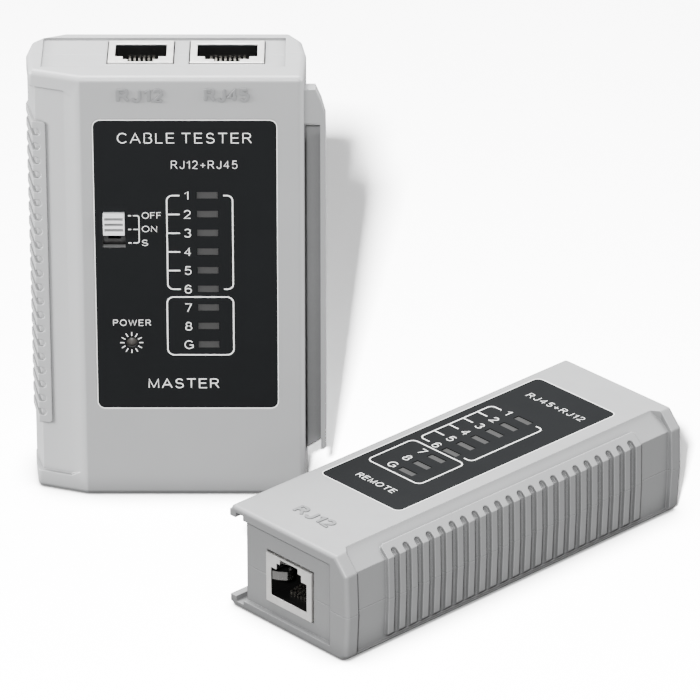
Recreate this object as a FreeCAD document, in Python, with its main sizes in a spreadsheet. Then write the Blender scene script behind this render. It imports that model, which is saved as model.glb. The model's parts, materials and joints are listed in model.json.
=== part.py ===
"""Two-piece network cable tester: a main unit and the remote unit that docks on its side rail.

Millimetres, +Z up.  The origin is the middle of the main unit's base.  -Y is the main unit's
front (label side) and +X its right, where the dock rail is.  The remote is drawn as if it
were docked, standing beside the main unit, and is then laid on the table by one placement.
"""
import FreeCAD, Part
import Sketcher
import math
import os
import re

Vector = FreeCAD.Vector

DRIVING = (
    # body of the main unit
    ("main_wide", 60.0),
    ("body_long", 100.0),
    ("body_deep", 24.0),
    ("seam_back", 1.3),
    ("wall", 1.8),
    ("edge_round", 1.3),
    ("side_lean", 0.9),
    ("facet_wide", 11.0),
    ("facet_deep", 4.0),
    ("end_flange", 4.2),
    ("end_sink", 0.6),
    # remote body
    ("remote_wide", 32.0),
    ("remote_chamfer", 3.8),
    ("remote_end_sink", 1.1),
    ("remote_flange", 3.2),
    # finger ribs
    ("rib_pitch", 3.35),
    ("rib_wide", 1.7),
    ("rib_proud", 0.3),
    ("pad_round", 0.8),
    ("flank_sink", 1.2),
    ("main_rib_first", 16.9),
    ("remote_rib_first", 13.1),
    # dock rail and channel
    ("rail_reach", 4.2),
    ("rail_head_thick", 1.2),
    ("rail_half_deep", 10.2),
    ("rail_neck_half", 5.2),
    ("rail_stop_deep", 3.2),
    ("rail_low", 11.0),
    ("rail_front_high", 86.0),
    ("rail_rear_high", 79.5),
    ("rail_stop_low", 88.4),
    ("rail_stop_high", 96.4),
    ("lip_reach", 4.0),
    ("lip_thick", 1.4),
    ("lip_round", 1.1),
    ("hook_thick", 1.7),
    ("hook_drop", 1.2),
    ("hook_long", 86.0),
    # labels
    ("label_wide", 39.3),
    ("label_tall", 68.7),
    ("label_middle_x", 4.15),
    ("label_low", 21.4),
    ("label_thick", 0.3),
    ("label_round", 1.6),
    ("label_gap", 0.15),
    ("remote_label_wide", 24.2),
    ("remote_label_tall", 65.6),
    ("remote_label_x", 10.8),
    ("remote_label_low", 23.2),
    # lamps
    ("lamp_wide", 4.4),
    ("lamp_tall", 1.6),
    ("lamp_pitch", 4.45),
    ("lamp_x", 8.8),
    ("lamp_low", 36.8),
    ("remote_lamp_x", 11.0),
    ("remote_lamp_low", 37.3),
    ("remote_lamp_pitch", 4.33),
    ("power_x", -7.9),
    ("power_z", 37.3),
    ("lamp_sink", 0.2),
    ("power_lamp_wide", 3.0),
    ("power_window_wide", 2.5),
    # power switch
    ("knob_wide", 4.6),
    ("knob_tall", 5.0),
    ("knob_top", 68.3),
    ("knob_travel", 3.0),
    ("knob_proud", 0.8),
    ("knob_groove_wide", 4.0),
    ("knob_groove_tall", 0.6),
    ("knob_groove_deep", 1.1),
    ("knob_groove_pitch", 1.28),
    ("slot_x", -11.3),
    ("slot_wide", 4.9),
    ("slot_gap", 0.3),
    ("switch_wide", 7.4),
    ("switch_tall", 14.4),
    ("switch_front", -9.4),
    ("switch_split", -6.4),
    ("switch_sheet", 0.4),
    ("stem_wide", 2.4),
    ("stem_tall", 3.0),
    ("foot_back", -7.3),
    ("foot_front", -8.3),
    # jacks
    ("jack_tall", 11.6),
    ("jack_long", 15.4),
    ("jack_gap", 0.3),
    ("jack6_wide", 13.9),
    ("jack6_mouth", 11.0),
    ("jack8_wide", 15.8),
    ("jack8_mouth", 12.9),
    ("mouth_tall", 6.6),
    ("mouth_margin", 1.8),
    ("mouth_deep", 12.4),
    ("step_tall", 1.5),
    ("step_inset", 1.7),
    ("notch_tall", 1.2),
    ("notch_wide", 5.5),
    ("main_jack_sunk", 0.3),
    ("remote_jack_sunk", 0.6),
    ("shield_thick", 0.35),
    ("contact_wide", 0.45),
    ("contact_pitch", 1.02),
    ("main_jack_front", -3.3),
    ("remote_jack_front", -4.6),
    ("main_jack6_x", -5.4),
    ("main_jack8_x", 13.1),
    ("remote_jack_x", 13.4),
    # circuit boards
    ("board_thick", 1.6),
    ("main_board_left", -20.6),
    ("main_board_low", 34.6),
    ("main_board_wide", 43.4),
    ("main_board_tall", 62.0),
    ("remote_board_left", 2.4),
    ("remote_board_low", 4.5),
    ("remote_board_wide", 25.2),
    ("remote_board_tall", 91.0),
    ("board_round", 0.8),
    # components
    ("chip_wide", 6.4),
    ("chip_thick", 3.3),
    ("chip_lift", 0.5),
    ("leg_pitch", 2.54),
    ("leg_wide", 0.5),
    ("leg_thick", 0.3),
    ("resistor_radius", 1.1),
    ("resistor_long", 6.2),
    ("diode_radius", 0.9),
    ("diode_long", 3.9),
    ("part_lead_radius", 0.28),
    ("part_lead_reach", 1.6),
    # battery and its bay
    ("battery_long", 46.4),
    ("battery_tall", 25.6),
    ("battery_deep", 16.8),
    ("battery_left", -23.6),
    ("battery_low", 2.8),
    ("battery_round", 1.8),
    ("stud_tall", 2.1),
    ("stud_apart", 12.7),
    ("cap_thick", 4.4),
    ("lead_radius", 0.65),
    ("door_low", 2.9),
    ("door_tall", 28.6),
    ("door_left", -24.4),
    ("door_wide", 50.4),
    ("door_gap", 0.25),
    ("hinge_pin_wide", 1.0),
    # screws
    ("boss_wide", 5.0),
    ("rear_boss_wide", 6.8),
    ("screw_wide", 2.2),
    ("screw_head_wide", 4.4),
    ("screw_head_thick", 1.5),
    ("screw_bite", 8.0),
    ("post_wide", 4.4),
    ("board_screw_wide", 1.8),
    ("board_screw_bite", 3.8),
    ("board_head_wide", 3.4),
    ("board_head_thick", 1.1),
)

RIBS_MAIN = 22
RIBS_REMOTE = 23
LAMPS = 9
REMOTE_NEAR_END = Vector(16.85, -64.35, 0)
REMOTE_YAW = 43.32

doc = FreeCAD.newDocument("CableTester")
sheet = doc.addObject("Spreadsheet::Sheet", "dims")
for row, (alias, value) in enumerate(DRIVING, start=1):
    sheet.set(f"A{row}", alias)
    sheet.set(f"B{row}", str(value))
    sheet.setAlias(f"B{row}", alias)
doc.recompute()


def dim(expression):
    """The value of an expression in the sheet's aliases."""
    return float(sheet.evalExpression(expression))


SIZES = {alias: dim(alias) for alias, value in DRIVING}


def size(alias):
    return SIZES[alias]


HALF = size("main_wide") / 2
DEEP = size("body_deep") / 2
LONG = size("body_long")
SEAM = size("seam_back")
WALL = size("wall")
SUB_PARTS = {}


# ---------------------------------------------------------------- shapes

def block(low, high):
    """A box between two corners."""
    low = Vector(*low)
    high = Vector(*high)
    return Part.makeBox(high.x - low.x, high.y - low.y, high.z - low.z, low)


def upright(corners, low, high):
    """A prism of an (x, y) outline, standing from z = low to z = high."""
    points = [Vector(x, y, low) for x, y in corners]
    face = Part.Face(Part.makePolygon(points + points[:1]))
    return face.extrude(Vector(0, 0, high - low))


def fore_and_aft(corners, front, back):
    """A prism of an (x, z) outline, running from y = front to y = back."""
    points = [Vector(x, front, z) for x, z in corners]
    face = Part.Face(Part.makePolygon(points + points[:1]))
    return face.extrude(Vector(0, back - front, 0))


def sideways(corners, left, right):
    """A prism of a (y, z) outline, running from x = left to x = right."""
    points = [Vector(left, y, z) for y, z in corners]
    face = Part.Face(Part.makePolygon(points + points[:1]))
    return face.extrude(Vector(right - left, 0, 0))


def shrunk(corners, inset):
    """The (x, y) outline moved inwards by the wall, as a list of corners."""
    points = [Vector(x, y, 0) for x, y in corners]
    face = Part.Face(Part.makePolygon(points + points[:1]))
    wire = face.makeOffset2D(-inset, 2).OuterWire
    return [(vertex.X, vertex.Y) for vertex in wire.OrderedVertexes]


def joined(shapes):
    return shapes[0].multiFuse(shapes[1:]).removeSplitter()


def edges_where(shape, test):
    return [edge for edge in shape.Edges if test(edge)]


def runs_along(edge, axis):
    """Whether a straight edge is parallel to an axis."""
    if edge.Curve.TypeId != "Part::GeomLine":
        return False
    return abs(edge.tangentAt(edge.FirstParameter).dot(axis)) > 0.999


def rounded(shape, radius, test):
    return shape.makeFillet(radius, edges_where(shape, test))


def rod(radius, length, start, axis):
    return Part.makeCylinder(radius, length, Vector(*start), Vector(*axis))


# ---------------------------------------------------------------- document objects

def bound(expression):
    """An expression in the sheet's aliases, written the way a document object needs it."""
    return re.sub(r"[a-z]\w*", r"dims.\g<0>", str(expression))


def place(feature, corner):
    for axis, value in zip("xyz", corner):
        feature.setExpression(f"Placement.Base.{axis}", bound(value))


def keep(name, feature, placement):
    """Names a finished feature as a sub-part and puts it where it belongs."""
    feature.Label = name
    feature.Placement = placement
    SUB_PARTS[name] = feature
    return feature


def keep_shape(name, shape, placement):
    """A sub-part whose shape is worked out from the sheet's sizes by the functions here."""
    feature = doc.addObject("Part::Feature", name)
    feature.Shape = shape
    return keep(name, feature, placement)


def bound_box(name, low, high):
    """A Part::Box between two corners, each a triple of expressions."""
    box = doc.addObject("Part::Box", name)
    for side, start, end in zip(("Length", "Width", "Height"), low, high):
        box.setExpression(side, bound(f"({end}) - ({start})"))
    place(box, low)
    return box


def bound_rod(name, radius, height, start, axis):
    """A Part::Cylinder along an axis from a start point given as expressions."""
    cylinder = doc.addObject("Part::Cylinder", name)
    cylinder.Placement = FreeCAD.Placement(Vector(), FreeCAD.Rotation(Z_AXIS, axis))
    cylinder.setExpression("Radius", bound(radius))
    cylinder.setExpression("Height", bound(height))
    place(cylinder, start)
    return cylinder


def group(name, members, placement):
    """Separate solids kept as one sub-part."""
    compound = doc.addObject("Part::Compound", name)
    compound.Links = members
    return keep(name, compound, placement)


def merged(name, members):
    fusion = doc.addObject("Part::MultiFuse", name)
    fusion.Shapes = members
    return fusion


def cut_from(name, base, tools, placement):
    """base with the tools taken away, as one sub-part."""
    cut = doc.addObject("Part::Cut", name)
    cut.Base = base
    cut.Tool = merged(name + "_cutters", tools)
    return keep(name, cut, placement)


def slab(name, corners, start, end, radius):
    """A plate in the x-z plane from y = start to y = end, its corners rounded by radius."""
    body = doc.addObject("PartDesign::Body", name)
    plane = next(item for item in body.Origin.OriginFeatures if item.Role == "XZ_Plane")
    sketch = body.newObject("Sketcher::SketchObject", name + "_outline")
    sketch.AttachmentSupport = [(plane, "")]
    sketch.MapMode = "FlatFace"
    sketch.setExpression("AttachmentOffset.Base.z", bound(f"-({end})"))
    points = [Vector(dim(x), dim(z), 0) for x, z in corners]
    count = len(points)
    for index in range(count):
        sketch.addGeometry(Part.LineSegment(points[index], points[(index + 1) % count]), False)
    for index in range(count):
        sketch.addConstraint(Sketcher.Constraint("Coincident", index, 2, (index + 1) % count, 1))
    for index in range(count):
        values = (points[index].x, points[index].y)
        for kind, expression, value in zip(("DistanceX", "DistanceY"), corners[index], values):
            number = sketch.addConstraint(Sketcher.Constraint(kind, -1, 1, index, 1, value))
            sketch.setExpression(f"Constraints[{number}]", bound(expression))
    plate = body.newObject("PartDesign::Pad", name + "_pad")
    plate.Profile = sketch
    plate.setExpression("Length", bound(f"({end}) - ({start})"))
    doc.recompute()
    names = []
    for number, edge in enumerate(plate.Shape.Edges, start=1):
        if runs_along(edge, Y_AXIS):
            names.append(f"Edge{number}")
    fillet = body.newObject("PartDesign::Fillet", name + "_corners")
    fillet.Base = (plate, names)
    fillet.setExpression("Radius", bound(radius))
    doc.recompute()
    return body


def rectangle(left, low, wide, tall):
    """Corner expressions of a rectangle."""
    right = f"{left} + {wide}"
    high = f"{low} + {tall}"
    return [(left, low), (right, low), (right, high), (left, high)]


X_AXIS = Vector(1, 0, 0)
Y_AXIS = Vector(0, 1, 0)
Z_AXIS = Vector(0, 0, 1)


# ---------------------------------------------------------------- casing helpers

def on_seam(edge):
    return all(abs(vertex.Y - SEAM) < 0.01 for vertex in edge.Vertexes)


def end_tray(low_x, high_x, low_y, high_y, level, sink):
    """The shallow tray sunk into an end of a casing; sink is negative for the lower end."""
    first, second = sorted((level - sink, level + sink))
    return block((low_x, low_y, first), (high_x, high_y, second))


def jack_window(kind, middle, front, inner, outer):
    """The rectangular hole in an end wall that a jack's face looks out of."""
    gap = size("jack_gap")
    half = size(f"jack{kind}_wide") / 2 + gap
    first, second = sorted((inner, outer))
    back = front + size("jack_tall")
    return block((middle - half, front - gap, first), (middle + half, back + gap, second))


def round_ends(prism, start, end, radius):
    """Rounds a prism's top and bottom edges above one side of its (x, y) outline."""
    middle = (Vector(*start, 0) + Vector(*end, 0)) * 0.5

    def on_side(edge):
        centre = edge.CenterOfMass
        return not runs_along(edge, Z_AXIS) and (Vector(centre.x, centre.y, 0) - middle).Length < 0.01

    return rounded(prism, radius, on_side)


def grip_pad(pad_section, groove_section, first, count):
    """A raised pad cut into finger ribs by grooves with round ends.

    The last two corners of each (x, y) section are the side where its ends are rounded.
    """
    pitch = size("rib_pitch")
    half = size("rib_wide") / 2
    pad = upright(pad_section, first - half, first + (count - 1) * pitch + half)
    pad = round_ends(pad, pad_section[-2], pad_section[-1], size("pad_round"))
    groove_wide = pitch - 2 * half
    groove = upright(groove_section, 0, groove_wide)
    groove = round_ends(groove, groove_section[-2], groove_section[-1], 0.48 * groove_wide)
    levels = [first + half + index * pitch for index in range(count - 1)]
    return pad.cut([groove.translated(Vector(0, 0, level)) for level in levels])


def lamp_holes(x, first, pitch):
    """Holes for a row of lamps in a front wall."""
    wide = size("lamp_wide") / 2 + 0.1
    tall = size("lamp_tall") / 2 + 0.1
    levels = [first + index * pitch for index in range(LAMPS)]
    return [block((x - wide, -DEEP - 1, z - tall), (x + wide, -DEEP + 2 * WALL, z + tall)) for z in levels]


def label_bed(middle, low, wide, tall):
    gap = size("label_gap")
    left = middle - wide / 2 - gap
    bed = block((left, -DEEP - 1, low - gap),
                (left + wide + 2 * gap, -DEEP + size("label_thick"), low + tall + gap))
    return rounded(bed, size("label_round") + gap, lambda edge: runs_along(edge, Y_AXIS))


def front_bosses(places):
    """Screw bosses that stand on the front wall and end at the seam."""
    start = -DEEP + WALL / 2
    return [rod(size("boss_wide") / 2, SEAM - start, (x, start, z), (0, 1, 0)) for x, z in places]


def rear_bosses(places):
    end = DEEP - WALL / 2
    return [rod(size("rear_boss_wide") / 2, end - SEAM, (x, SEAM, z), (0, 1, 0)) for x, z in places]


def front_posts(places, board_front):
    """Short posts that the circuit board is screwed to."""
    start = -DEEP + WALL / 2
    return [rod(size("post_wide") / 2, board_front - start, (x, start, z), (0, 1, 0)) for x, z in places]


def pilot_holes(boss_places, post_places, board_front):
    deep = size("screw_bite") + 1
    holes = [rod(size("screw_wide") / 2 + 0.05, deep, (x, SEAM - deep, z), (0, 1, 0)) for x, z in boss_places]
    bite = 4.5
    for x, z in post_places:
        holes.append(rod(size("board_screw_wide") / 2 + 0.05, bite, (x, board_front - bite, z), (0, 1, 0)))
    return holes


def screw_passages(places):
    """Clearance holes and head pockets in a rear half."""
    holes = []
    for x, z in places:
        holes.append(rod(size("screw_wide") / 2 + 0.15, 2 * DEEP, (x, SEAM - 1, z), (0, 1, 0)))
        holes.append(rod(size("screw_head_wide") / 2 + 0.3, 4.0, (x, DEEP - 3.0, z), (0, 1, 0)))
    return holes


# ---------------------------------------------------------------- main unit casing

MAIN_BOSSES = ((-25.0, 36.4), (26.2, 36.4), (-24.2, 92.6), (26.2, 80.0))
MAIN_POSTS = ((-17.8, 38.5), (20.4, 48.0), (-17.8, 80.0), (20.4, 76.0))
MAIN_JACKS = (("6", "main_jack6_x"), ("8", "main_jack8_x"))
MAIN_BOARD_BACK = size("main_jack_front")
MAIN_BOARD_FRONT = MAIN_BOARD_BACK - size("board_thick")


def main_front_outline():
    """Front half's section: grip facet on the left, a small lean on the right."""
    lean = size("side_lean")
    facet_x = -HALF + lean + size("facet_wide")
    return [(-HALF, SEAM), (-HALF + lean, -DEEP + size("facet_deep")), (facet_x, -DEEP),
            (HALF - lean / 2, -DEEP), (HALF, SEAM)]


def main_rear_outline():
    """Rear half's section: both back corners lean in, the left one in two steps."""
    lean = size("side_lean")
    return [(-HALF, SEAM), (HALF, SEAM), (HALF - lean, DEEP - 4.2), (HALF - 3.6, DEEP),
            (-HALF + 8.0, DEEP), (-HALF + 3.0, DEEP - 2.2), (-HALF + lean, DEEP - 4.6)]


def main_solid(front):
    """A solid half of the casing, rounded outside and scooped on its left flank."""
    outline = main_front_outline() if front else main_rear_outline()
    solid = rounded(upright(outline, 0, LONG), size("edge_round"), lambda edge: not on_seam(edge))
    return solid.cut(main_flank_scoop(front))


def main_flank_scoop(front):
    """What is scooped out of the left side between the end flanges, in one half of the casing."""
    sink = size("flank_sink")
    lean = size("side_lean")
    low = size("end_flange")
    high = LONG - size("end_flange") + 0.5
    far = -HALF - 2
    side = -HALF + lean
    if not front:
        section = [(far, SEAM), (-HALF + 0.15, SEAM), (side + sink, DEEP - 5.6),
                   (side + sink - 0.4, DEEP - 4.4), (far, DEEP - 4.0)]
        return upright(section, low, high)
    facet_low = -DEEP + size("facet_deep")
    slope = size("facet_deep") / size("facet_wide")
    floor_wide = 7.6
    edge_x = side + size("facet_wide")
    section = [(far, SEAM), (-HALF + 0.15, SEAM), (side + sink, facet_low + 0.5 * sink),
               (side + floor_wide, facet_low - slope * floor_wide + 0.8 * sink), (edge_x - 0.6, -DEEP - 0.2),
               (far, -DEEP - 0.2)]
    scoop = upright(section, low, high)
    for end, way in ((low, 1), (high, -1)):
        corners = [(edge_x + 1, end - way), (edge_x + 1, end + 2.6 * way), (edge_x - 5.4, end - way)]
        scoop = scoop.cut(fore_and_aft(corners, -DEEP - 1, SEAM))
    return scoop


def main_front_ribs():
    """Ribs on the front half of the left flank, wrapped over the edge on to the facet."""
    side = -HALF - size("rib_proud")
    corner = -HALF + size("side_lean")
    facet_y = -DEEP + size("facet_deep")
    pad = [(-HALF + 2.6, facet_y + 2.0), (-HALF + 2.0, SEAM), (side, SEAM), (corner + 0.5, facet_y - 0.05),
           (corner + 3.4, facet_y - 0.6), (corner + 3.8, facet_y + 1.0)]
    groove = [(-HALF - 3, facet_y - 1.5), (-HALF - 3, SEAM), (-HALF + 0.5, SEAM),
              (corner + 1.2, facet_y + 0.65), (corner + 2.4, facet_y + 0.2), (corner + 1.7, facet_y - 1.9)]
    return grip_pad(pad, groove, size("main_rib_first"), RIBS_MAIN)


def main_rear_ribs():
    side = -HALF - size("rib_proud")
    back = DEEP - 5.6
    pad = [(-HALF + 2.0, SEAM), (side, SEAM), (side + 0.8, back - 0.9), (-HALF + 1.5, back + 0.1),
           (-HALF + 2.6, back)]
    groove = [(-HALF - 3, SEAM), (-HALF + 0.5, SEAM), (-HALF + 1.6, back - 1.6), (-HALF - 3, back - 1.6)]
    return grip_pad(pad, groove, size("main_rib_first"), RIBS_MAIN)


def rail_half(front):
    """Half of the T-shaped dock rail on the right side; the front half has the stop block at its top."""
    low = size("rail_low")
    high = size("rail_front_high") if front else size("rail_rear_high")
    reach = HALF + size("rail_reach")
    head = reach - size("rail_head_thick")
    inner = HALF - 1.0
    edge = size("rail_half_deep")
    neck_half = size("rail_neck_half")
    near, far = (-edge, SEAM) if front else (SEAM, edge)
    neck_near, neck_far = (-neck_half, SEAM) if front else (SEAM, neck_half)
    neck = fore_and_aft([(inner, low - 3.4), (head + 0.2, low - 0.6), (head + 0.2, high), (inner, high)],
                        neck_near, neck_far)
    strip = fore_and_aft([(head, low - 0.6), (reach - 0.6, low - 0.6), (reach, low), (reach, high - 2.0),
                          (head, high - 2.0)], near, far)
    if not front:
        return [neck, strip]
    stop = size("rail_stop_low")
    top = size("rail_stop_high")
    behind = -edge + size("rail_stop_deep")
    strip_end = fore_and_aft([(head, high - 3.0), (reach, high - 3.0), (reach, stop + 1), (head, stop + 1)],
                             near, behind)
    stopper = fore_and_aft([(inner, stop), (reach, stop), (reach, stop + 1.6), (reach - 0.9, stop + 5.0),
                            (reach - 2.2, top), (inner, top)], near, behind)
    return [neck, strip, strip_end, stopper]


def main_end_cutters():
    cutters = [end_tray(-26.5, 25.6, -6.3, 9.2, LONG, size("end_sink"))]
    for kind, place in MAIN_JACKS:
        cutters.append(jack_window(kind, size(place), size("main_jack_front"), LONG - 3 * WALL, LONG + 1))
    return cutters


def main_front_openings():
    """Windows for the row of lamps, the power lamp and the switch knob."""
    holes = lamp_holes(size("lamp_x"), size("lamp_low"), size("lamp_pitch"))
    holes.append(rod(size("power_lamp_wide") / 2 + 0.1, 3 * WALL,
                     (size("power_x"), -DEEP - 1, size("power_z")), (0, 1, 0)))
    half = size("slot_wide") / 2
    low, high = slot_span()
    holes.append(block((size("slot_x") - half, -DEEP - 1, low),
                       (size("slot_x") + half, -DEEP + 2 * WALL, high)))
    return holes


def slot_span():
    """Lower and upper ends of the knob's slot."""
    gap = size("slot_gap")
    return size("knob_top") - size("knob_tall") - size("knob_travel") - gap, size("knob_top") + gap


def main_front_shell():
    solid = main_solid(True)
    hollow = upright(shrunk(main_front_outline(), WALL), WALL, LONG - WALL)
    mouth = block((-HALF + 2 * WALL, SEAM - WALL - 0.1, WALL), (HALF - WALL, SEAM + 1, LONG - WALL))
    backing = upright([(-HALF + 1, SEAM), (-HALF + 3.6, SEAM), (-HALF + 3.9, -DEEP + 5.6),
                       (-HALF + 9.4, -DEEP + 3.9), (-HALF + 11.6, -DEEP + 1.0), (-HALF + 3, -DEEP + 3.6)],
                      WALL, LONG - WALL)
    inside = joined(front_bosses(MAIN_BOSSES) + front_posts(MAIN_POSTS, MAIN_BOARD_FRONT) + [backing])
    shell = solid.cut(hollow.fuse(mouth)).fuse(inside.common(solid))
    shell = joined([shell, main_front_ribs()] + rail_half(True))
    tools = main_end_cutters() + main_front_openings()
    tools.extend(pilot_holes(MAIN_BOSSES, MAIN_POSTS, MAIN_BOARD_FRONT))
    tools.append(label_bed(size("label_middle_x"), size("label_low"), size("label_wide"), size("label_tall")))
    return shell.cut(tools).removeSplitter()


def battery_bay():
    """Walls of the battery bay, which reaches forward from the rear half, and the hollow in it."""
    floor = DEEP - WALL - size("battery_deep") - 0.5
    thin = 1.2
    left = size("door_left") + 0.3
    right = HALF - WALL - 0.6
    low = size("door_low") - 0.25
    high = size("door_low") + size("door_tall") + 0.3
    back = DEEP - 1.0
    walls = upright([(left - thin, back), (left - thin, floor + 1.5), (-HALF + 10.0, floor + 0.1),
                     (-HALF + 10.0, floor - thin), (right + 0.3, floor - thin), (right + 0.3, back)],
                    low - 0.75, high + thin)
    hollow = block((left, floor, low), (right, DEEP + 1, high))
    return walls, hollow


def lead_notch():
    """The gap in the bay's top wall that the battery leads pass through."""
    high = size("door_low") + size("door_tall")
    return block((17.9, -1.4, high - 0.5), (21.1, 4.6, high + 2.0))


def door_axis():
    """(y, z) of the battery door's hinge line, in the middle of the door's rounded lower edge."""
    return DEEP - WALL / 2, size("door_low") + WALL / 2


def door_opening():
    """The hole in the back for the door, with a round seat each side for its hinge pins."""
    gap = size("door_gap")
    left = size("door_left") - gap
    right = size("door_left") + size("door_wide") + gap
    low = size("door_low") - gap
    high = size("door_low") + size("door_tall") + gap
    hole = block((left, DEEP - WALL - 0.1, low), (right, DEEP + 1, high))
    y, z = door_axis()
    seat = rod(size("hinge_pin_wide") / 2 + 0.05, right - left + 2.4, (left - 1.2, y, z), (1, 0, 0))
    return hole.fuse(seat)


def main_rear_shell():
    solid = main_solid(False)
    hollow = upright(shrunk(main_rear_outline(), WALL), WALL, LONG - WALL)
    mouth = block((-HALF + WALL, SEAM - 1, WALL), (HALF - WALL, SEAM + WALL + 0.1, LONG - WALL))
    backing = upright([(-HALF + 1, SEAM), (-HALF + 3.6, SEAM), (-HALF + 4.2, DEEP - 4.4),
                       (-HALF + 2.0, DEEP - 4.2)], WALL, LONG - WALL)
    ledge = block((size("door_left") - 1.6, DEEP - 2 * WALL, WALL), (HALF - 2.2, DEEP - WALL / 2, 3 * WALL))
    inside = joined(rear_bosses(MAIN_BOSSES) + [backing, ledge])
    walls, bay = battery_bay()
    shell = solid.cut(hollow.fuse(mouth)).fuse(inside.common(solid))
    shell = joined([shell, walls, main_rear_ribs()] + rail_half(False))
    tools = [bay, lead_notch(), door_opening()] + main_end_cutters() + screw_passages(MAIN_BOSSES)
    return shell.cut(tools).removeSplitter()


def battery_door():
    """A flat cover, round at its lower edge where two pins hinge it, with a finger notch on top."""
    left = size("door_left")
    right = left + size("door_wide")
    high = size("door_low") + size("door_tall")
    middle = (left + right) / 2
    y, z = door_axis()
    plate = block((left, DEEP - WALL, z), (right, DEEP, high))
    plate = rounded(plate, 1.0, lambda edge: runs_along(edge, Y_AXIS) and edge.CenterOfMass.z > z + 1)
    knuckle = rod(WALL / 2, right - left, (left, y, z), (1, 0, 0))
    pins = rod(size("hinge_pin_wide") / 2, right - left + 2.0, (left - 1.0, y, z), (1, 0, 0))
    notch = rod(7.0, 4.0, (middle, DEEP - 0.7, high + 4.4), (0, 1, 0))
    grooves = []
    for index in range(3):
        groove_low = high - 6.0 - 1.6 * index
        grooves.append(block((middle - 7, DEEP - 0.4, groove_low), (middle + 7, DEEP + 1, groove_low + 0.8)))
    return joined([plate, knuckle, pins]).cut([notch] + grooves)


# ---------------------------------------------------------------- remote casing

REMOTE_BOSSES = ((3.3, 28.0), (27.0, 28.0), (3.3, 74.0), (27.0, 74.0))
REMOTE_POSTS = ((20.2, 22.5), (9.0, 78.5))
REMOTE_JACKS = (("6", 0.0, -1), ("8", LONG, 1))
REMOTE_BOARD_BACK = size("remote_jack_front")
REMOTE_BOARD_FRONT = REMOTE_BOARD_BACK - size("board_thick")
REMOTE_WIDE = size("remote_wide")


def remote_outline(front, with_lip):
    """Section of one half of the remote; the lip stands out on the left to meet the dock rail."""
    chamfer = size("remote_chamfer")
    lip = size("lip_thick")
    reach = size("lip_reach")
    if front:
        right = [(REMOTE_WIDE - chamfer, -DEEP), (REMOTE_WIDE - 0.4, -DEEP + chamfer), (REMOTE_WIDE, SEAM)]
        left = [(0, -DEEP + lip), (-reach, -DEEP + lip), (-reach, -DEEP)] if with_lip else [(0, -DEEP)]
    else:
        right = [(REMOTE_WIDE - 1.9, DEEP), (REMOTE_WIDE - 0.5, DEEP - 1.2), (REMOTE_WIDE, SEAM)]
        left = [(0, DEEP - lip), (-reach, DEEP - lip), (-reach, DEEP)] if with_lip else [(0, DEEP)]
    return [(0, SEAM)] + left + right


def remote_solid(front):
    """A solid half of the remote with its lip, rounded outside and scooped on its right flank."""
    reach = -size("lip_reach")

    def lip_corner(edge):
        middle = edge.CenterOfMass
        return runs_along(edge, Z_AXIS) and abs(middle.x - reach) < 0.01 and abs(middle.y) > DEEP - 0.01

    def outer(edge):
        under_lip = any(abs(vertex.Y) < DEEP - 0.1 and vertex.X < 1 for vertex in edge.Vertexes)
        return not on_seam(edge) and not under_lip

    solid = upright(remote_outline(front, True), 0, LONG)
    solid = rounded(solid, size("lip_round"), lip_corner)
    solid = rounded(solid, size("edge_round") * 0.7, outer)
    return solid.cut(remote_flank_scoop(front))


def remote_hook(front):
    """The lip's inward hook, which stops short of the top to leave room for the rail's stop."""
    way = 1 if front else -1
    face = -DEEP * way
    reach = -size("lip_reach")
    near = face + way * (size("lip_thick") - 0.4)
    far = face + way * (size("lip_thick") + size("hook_drop"))
    inner = reach + size("hook_thick")
    return upright([(reach, near), (reach, far), (inner, far), (inner, near)], 0, size("hook_long"))


def remote_flank_scoop(front):
    """What is scooped out of the remote's right side between its end flanges."""
    sink = size("flank_sink")
    chamfer = size("remote_chamfer")
    low = size("remote_flange")
    high = LONG - size("remote_flange")
    far = REMOTE_WIDE + 2
    if not front:
        section = [(far, SEAM), (REMOTE_WIDE - sink, SEAM), (REMOTE_WIDE - sink - 0.4, DEEP - 1.0),
                   (far, DEEP - 1.0)]
        return upright(section, low, high)
    edge_x = REMOTE_WIDE - chamfer - 1.9
    section = [(far, SEAM), (REMOTE_WIDE - sink, SEAM), (REMOTE_WIDE - sink - 0.2, -DEEP + chamfer + 0.4),
               (edge_x + 0.7, -DEEP + 0.9), (edge_x, -DEEP - 0.2), (far, -DEEP - 0.2)]
    scoop = upright(section, low, high)
    for end, way in ((low, 1), (high, -1)):
        corners = [(edge_x - 1, end - way), (edge_x - 1, end + 2.4 * way), (edge_x + 3.4, end - way)]
        scoop = scoop.cut(fore_and_aft(corners, -DEEP - 1, SEAM))
    return scoop


def remote_ribs(front):
    """Ribs on one half of the right flank; the front ones wrap over the edge on to the chamfer."""
    face = REMOTE_WIDE - 0.3
    inside = REMOTE_WIDE - 2.4
    floor = REMOTE_WIDE - size("flank_sink")
    if front:
        edge_y = -DEEP + size("remote_chamfer")
        pad = [(inside, edge_y + 1.4), (inside, SEAM), (face, SEAM), (face - 0.25, edge_y),
               (face - 2.8, edge_y - 2.4), (face - 3.6, edge_y - 1.2)]
        groove = [(floor - 0.2, edge_y + 0.4), (floor, SEAM), (face + 2, SEAM), (face + 2, edge_y - 1.6),
                  (floor + 0.1, edge_y - 2.3), (floor - 1.4, edge_y - 0.65)]
    else:
        back = DEEP - 1.4
        pad = [(inside, SEAM), (face, SEAM), (face - 0.3, back - 0.9), (face - 1.0, back), (inside, back)]
        groove = [(face + 2, SEAM), (floor, SEAM), (floor - 0.4, back + 1.4), (face + 2, back + 1.4)]
    return grip_pad(pad, groove, size("remote_rib_first"), RIBS_REMOTE)


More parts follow.
